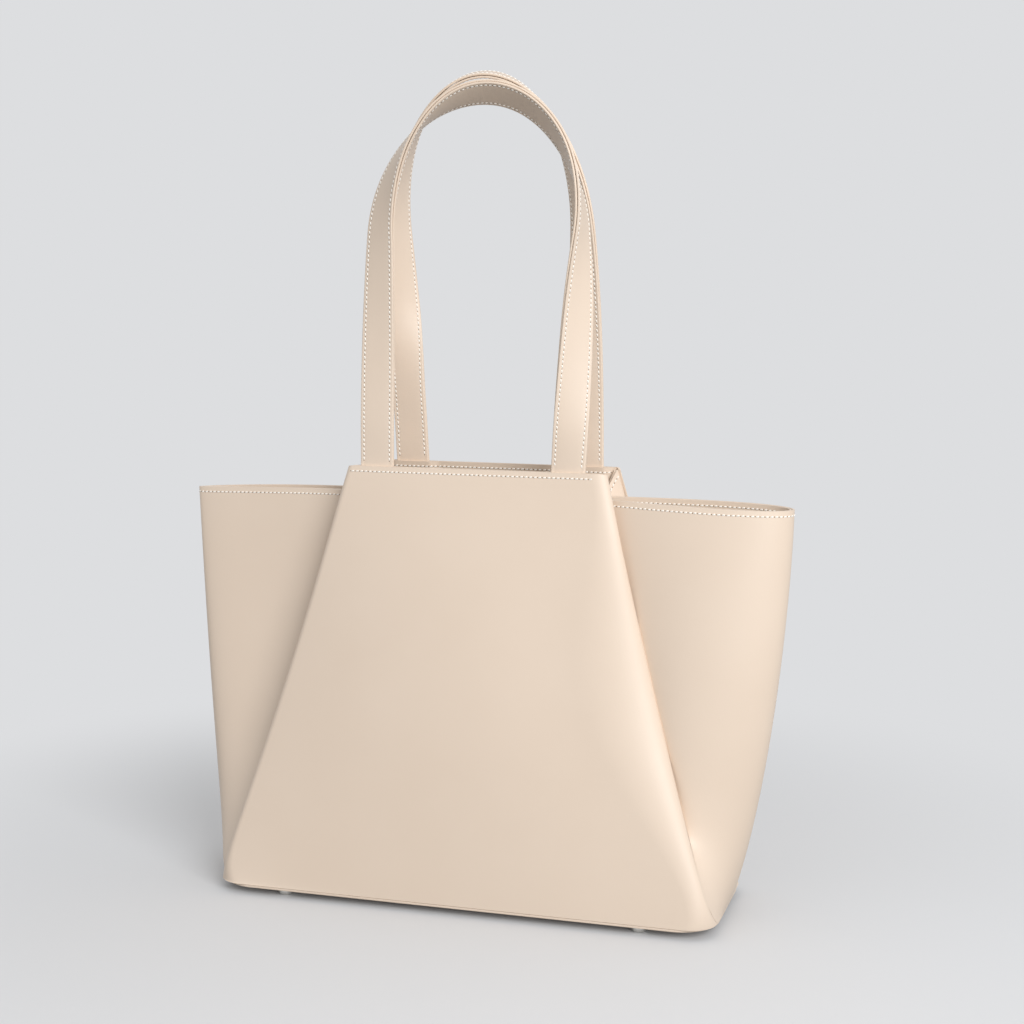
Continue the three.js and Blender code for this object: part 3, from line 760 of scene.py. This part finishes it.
def strap_profile():
    """Section of one strap leather as width and depth: a flat inner face, rounded edges, and an outer face
    that is crowned and dips along its two stitch lines."""
    half, corner = STRAP_WIDTH / 2, STRAP_EDGE_ROUND
    bend = np.linspace(0, math.pi / 2, 4)
    face = np.array([-10, -9.3, -8.7, -8.1, -6.5, -3.5, 0, 3.5, 6.5, 8.1, 8.7, 9.3, 10])
    dip = STRAP_GROOVE * np.exp(-((np.abs(face) - (half - STRAP_STITCH)) / STRAP_GROOVE_WIDTH) ** 2)
    crown = STRAP_LAYER + STRAP_CROWN * (1 - (face / half) ** 2) - dip
    low_left = np.stack([-half + corner * (1 - np.sin(bend)), corner * (1 - np.cos(bend))], axis=-1)
    up_left = np.stack([-half + corner * (1 - np.cos(bend)), STRAP_LAYER - corner * (1 - np.sin(bend))],
                       axis=-1)
    up_right = up_left[::-1] * [-1, 1]
    low_right = low_left[::-1] * [-1, 1]
    return np.concatenate([low_left, up_left, np.stack([face, crown], axis=-1), up_right, low_right])


def handle_pieces(name, side):
    """A handle's two strap leathers and their stitches."""
    line, normal, width = strap_line(HANDLES[name], side)
    profile = strap_profile()
    paths = []
    made = []
    for layer, sense in (("strap", 1), ("backing", -1)):
        depth = sense * (profile[:, 1] + STRAP_GAP)
        rings = (line[:, None, :] + width[:, None, :] * profile[None, :, :1]
                 + normal[:, None, :] * depth[None, :, None])
        made.append(piece(f"{name}_handle_{layer}_leather", tube(rings), leather,
                          [f"{name}_handle_{layer}"]))
        for edge in (-1, 1):
            path = line + width * edge * (STRAP_WIDTH / 2 - STRAP_STITCH)
            top = STRAP_LAYER + STRAP_GAP - STRAP_THREAD_SINK
            paths.append(((path + normal * sense * top)[10:-10], (normal * sense)[10:-10]))
    for shown in made + sewn_pieces(f"{name}_handle", paths):
        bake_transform(shown)


# Base and feet
def base_outline(margin):
    """Rounded rectangle of the base, the margin in from its edge, as one closed ring."""
    radius = BASE_EDGE_CORNER - margin
    angle = np.linspace(0, 2 * math.pi, BASE_RING + 1)[:-1] + math.pi / BASE_RING
    x = np.sign(np.cos(angle)) * (BASE_HALF_WIDTH - BASE_EDGE_CORNER) + radius * np.cos(angle)
    y = np.sign(np.sin(angle)) * (BASE_HALF_DEPTH - BASE_EDGE_CORNER) + radius * np.sin(angle)
    return np.stack([x, y], axis=-1)


def base_pieces():
    """The base's leather: an upright edge with small roundings, seen as a strip under the walls."""
    reveal = BASE_HALF_WIDTH - base_high[0]
    low, high = base_low[2], base_high[2]
    bend = np.linspace(0, math.pi / 2, 4)
    corner = BASE_EDGE_ROUND
    margins = np.concatenate([1 - np.sin(bend), 1 - np.cos(bend)]) * corner + reveal
    heights = np.concatenate([low + corner * (1 - np.cos(bend)), high - corner * (1 - np.sin(bend))])
    rings = np.stack([np.concatenate([base_outline(margin), np.full((BASE_RING, 1), height)], axis=-1)
                      for margin, height in zip(margins, heights)])
    made = piece("base_panel_leather", tube(rings), leather, ["base_panel"])
    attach(made, "bag_body")


def foot_pieces():
    """Each foot is a profile turned about its axis: a domed cap with a flat to stand on, and a collar."""
    cap = base_low[2] - FIT
    for row in ("front", "back"):
        for place in ("left", "right"):
            low, high = corners(f"{row}_{place}_foot")
            middle, radius = (low + high) / 2, (high[0] - low[0]) / 2
            bend = np.linspace(0, math.pi / 2, 10)
            dome = np.stack([radius * mix(FOOT_FLAT, 1, np.sin(bend)), FOOT_DOME * cap * (1 - np.cos(bend))],
                            axis=-1)
            collar = np.array([[1, 0.8], [0.97, 0.86], [0.9, 0.88], [0.9, 0.93],
                               [0.96, 0.96], [0.96, 1], [0.3, 1]])
            profile = np.concatenate([dome, collar * [radius, cap]])
            angle = np.linspace(0, 2 * math.pi, 49)[:-1]
            rings = np.stack(np.broadcast_arrays(
                middle[0] + profile[:, :1] * np.cos(angle), middle[1] + profile[:, :1] * np.sin(angle),
                profile[:, 1:]), axis=-1)
            made = piece(f"{row}_{place}_domed_foot", tube(rings), nickel, [f"{row}_{place}_foot"])
            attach(made, "bag_body")


for name, side in (("front", -1), ("back", 1)):
    handle = HANDLES[name]
    legs = [handle["shift"] - handle["spacing"] / 2, handle["shift"] + handle["spacing"] / 2]
    panel_pieces(name, side, legs)
    handle_pieces(name, side)
wing_pieces("right", np.array, "front", "back")
wing_pieces("left", half_turn, "back", "front")
base_pieces()
foot_pieces()

# CAD nodes that stay: hidden strap ends, board, base lining and washers
finishes = {"strap_end": leather, "board": board_fibre, "lining": lining_cloth, "washer": nickel}
for node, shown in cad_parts.items():
    for word, finish in finishes.items():
        if node.endswith(word):
            shown.data.materials.clear()
            shown.data.materials.append(finish)

# Stage, light and camera
PAPER, LIT_PAPER, BOUNCE_PAPER = "DDDEE0", "DADBDD", "828282"
FLOOR_REACH = 12
square = [(-1, -1, 0), (1, -1, 0), (1, 1, 0), (-1, 1, 0)]
sweep_mesh = bpy.data.meshes.new("floor")
sweep_mesh.from_pydata([Vector(corner) * FLOOR_REACH for corner in square], [], [(0, 1, 2, 3)])
sweep_mesh.materials.append(paper_sweep(PAPER, LIT_PAPER, BOUNCE_PAPER))
floor = bpy.data.objects.new("floor", sweep_mesh)
bpy.context.scene.collection.objects.link(floor)

world = bpy.data.worlds.new("studio")
bpy.context.scene.world = world
world.use_nodes = True
tree = world.node_tree
tree.nodes.clear()
path = add(tree, "ShaderNodeLightPath")
seen = add(tree, "ShaderNodeMath", {0: path.outputs["Is Camera Ray"], 1: path.outputs["Is Glossy Ray"]},
           operation="MAXIMUM")
room = add(tree, "ShaderNodeBackground", {"Color": (1, 1, 1, 1), "Strength": 0.71})
backdrop = add(tree, "ShaderNodeBackground", {"Color": linear(PAPER), "Strength": 1})
both = add(tree, "ShaderNodeMixShader", {0: seen.outputs[0], 1: room.outputs[0], 2: backdrop.outputs[0]})
add(tree, "ShaderNodeOutputWorld", {"Surface": both.outputs[0]})


def softbox(name, place, target, size, power):
    """Square area lamp at a place, aimed at a target, in metres and watts."""
    lamp = bpy.data.lights.new(name, "AREA")
    lamp.size = size
    lamp.energy = power
    made = bpy.data.objects.new(name, lamp)
    made.location = place
    made.rotation_euler = (Vector(target) - Vector(place)).to_track_quat("-Z", "Y").to_euler()
    bpy.context.scene.collection.objects.link(made)


softbox("key_softbox", (1.4, -1.5, 1.05), (0, 0, 0.25), 1.3, 36)

camera = bpy.data.objects.new("camera", bpy.data.cameras.new("camera"))
camera.data.sensor_width = 36
camera.data.lens = 65.8
eye, aim = Vector((0.3680, -1.1482, 0.4263)), Vector((0.0225, 0.0052, 0.2550))
camera.location = eye
camera.rotation_euler = (aim - eye).to_track_quat("-Z", "Y").to_euler()
bpy.context.scene.collection.objects.link(camera)
bpy.context.scene.camera = camera
bpy.context.scene.view_settings.view_transform = "Standard"
